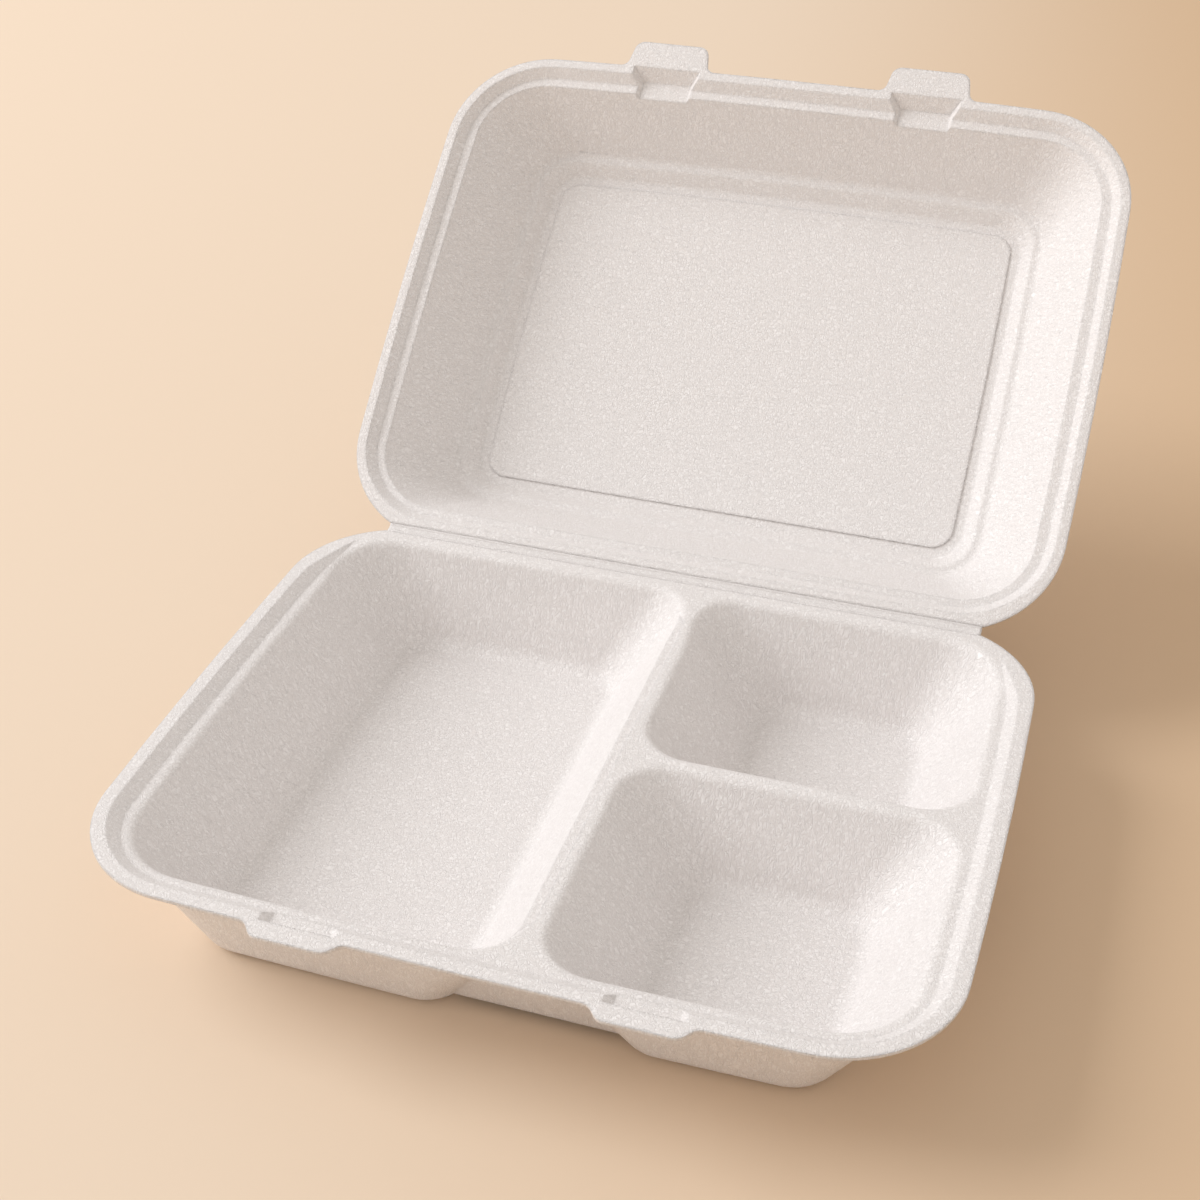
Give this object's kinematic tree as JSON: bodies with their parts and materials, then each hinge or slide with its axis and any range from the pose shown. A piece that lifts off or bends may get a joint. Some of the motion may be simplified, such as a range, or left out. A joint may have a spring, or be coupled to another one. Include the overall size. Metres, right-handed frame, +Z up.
{
  "type": "foam clamshell food container",
  "caption": "Open hinged foam takeaway container with a compartmented tray, stepped rim, domed lid and tab latches.",
  "frame": {"origin": "on the plane the tray's feet rest on, below the middle of the open container's footprint", "axes": "+X along the hinge to the right with the latches in front, +Y towards the hinge, +Z up"},
  "size_m": [0.24, 0.3392, 0.1573],
  "materials": {
    "foam_tray": "satin foam skin, fine grain",
    "foam_lid": "satin foam skin, fine grain",
    "foam_hinge": "pressed foam, grainy"
  },
  "bodies": {
    "base": {"base_tray": "foam_tray", "living_hinge": "foam_hinge"},
    "lid": {"lid": "foam_lid"}
  },
  "joints": [
    {"name": "lid_hinge", "type": "hinge", "parent": "base", "child": "lid", "pos_m": [0, 0.01845, 0.03565], "axis": [1, 0, 0], "range_deg": [-39, 141], "deforming": ["living_hinge"]}
  ]
}
